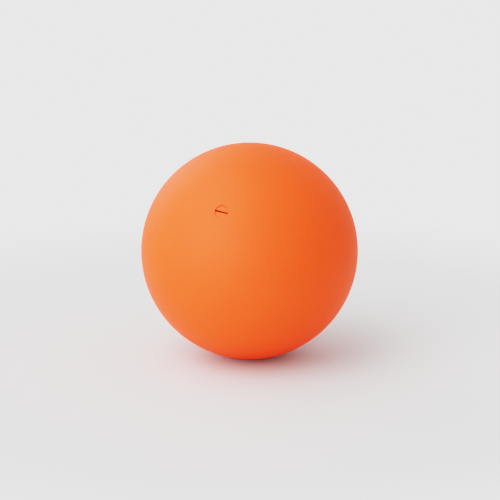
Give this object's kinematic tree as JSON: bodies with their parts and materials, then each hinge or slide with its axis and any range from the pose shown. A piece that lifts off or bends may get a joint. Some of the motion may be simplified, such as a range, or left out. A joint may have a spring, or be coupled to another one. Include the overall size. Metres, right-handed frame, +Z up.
{
  "type": "hollow vinyl ball",
  "caption": "Smooth hollow ball of soft vinyl with a flush round inflation plug that is slit for a needle.",
  "frame": {"origin": "centre of the ball", "axes": "+Z up as the ball lies at rest, -Y towards the side that the needle valve faces, +X to the right seen from that side"},
  "size_m": [0.07, 0.07, 0.07],
  "materials": {
    "shell_vinyl": "satin",
    "seat_vinyl": "satin",
    "plug_vinyl": "satin"
  },
  "bodies": {
    "root": {"ball_shell": "shell_vinyl", "valve_seat": "seat_vinyl", "valve_plug": "plug_vinyl"}
  },
  "joints": []
}
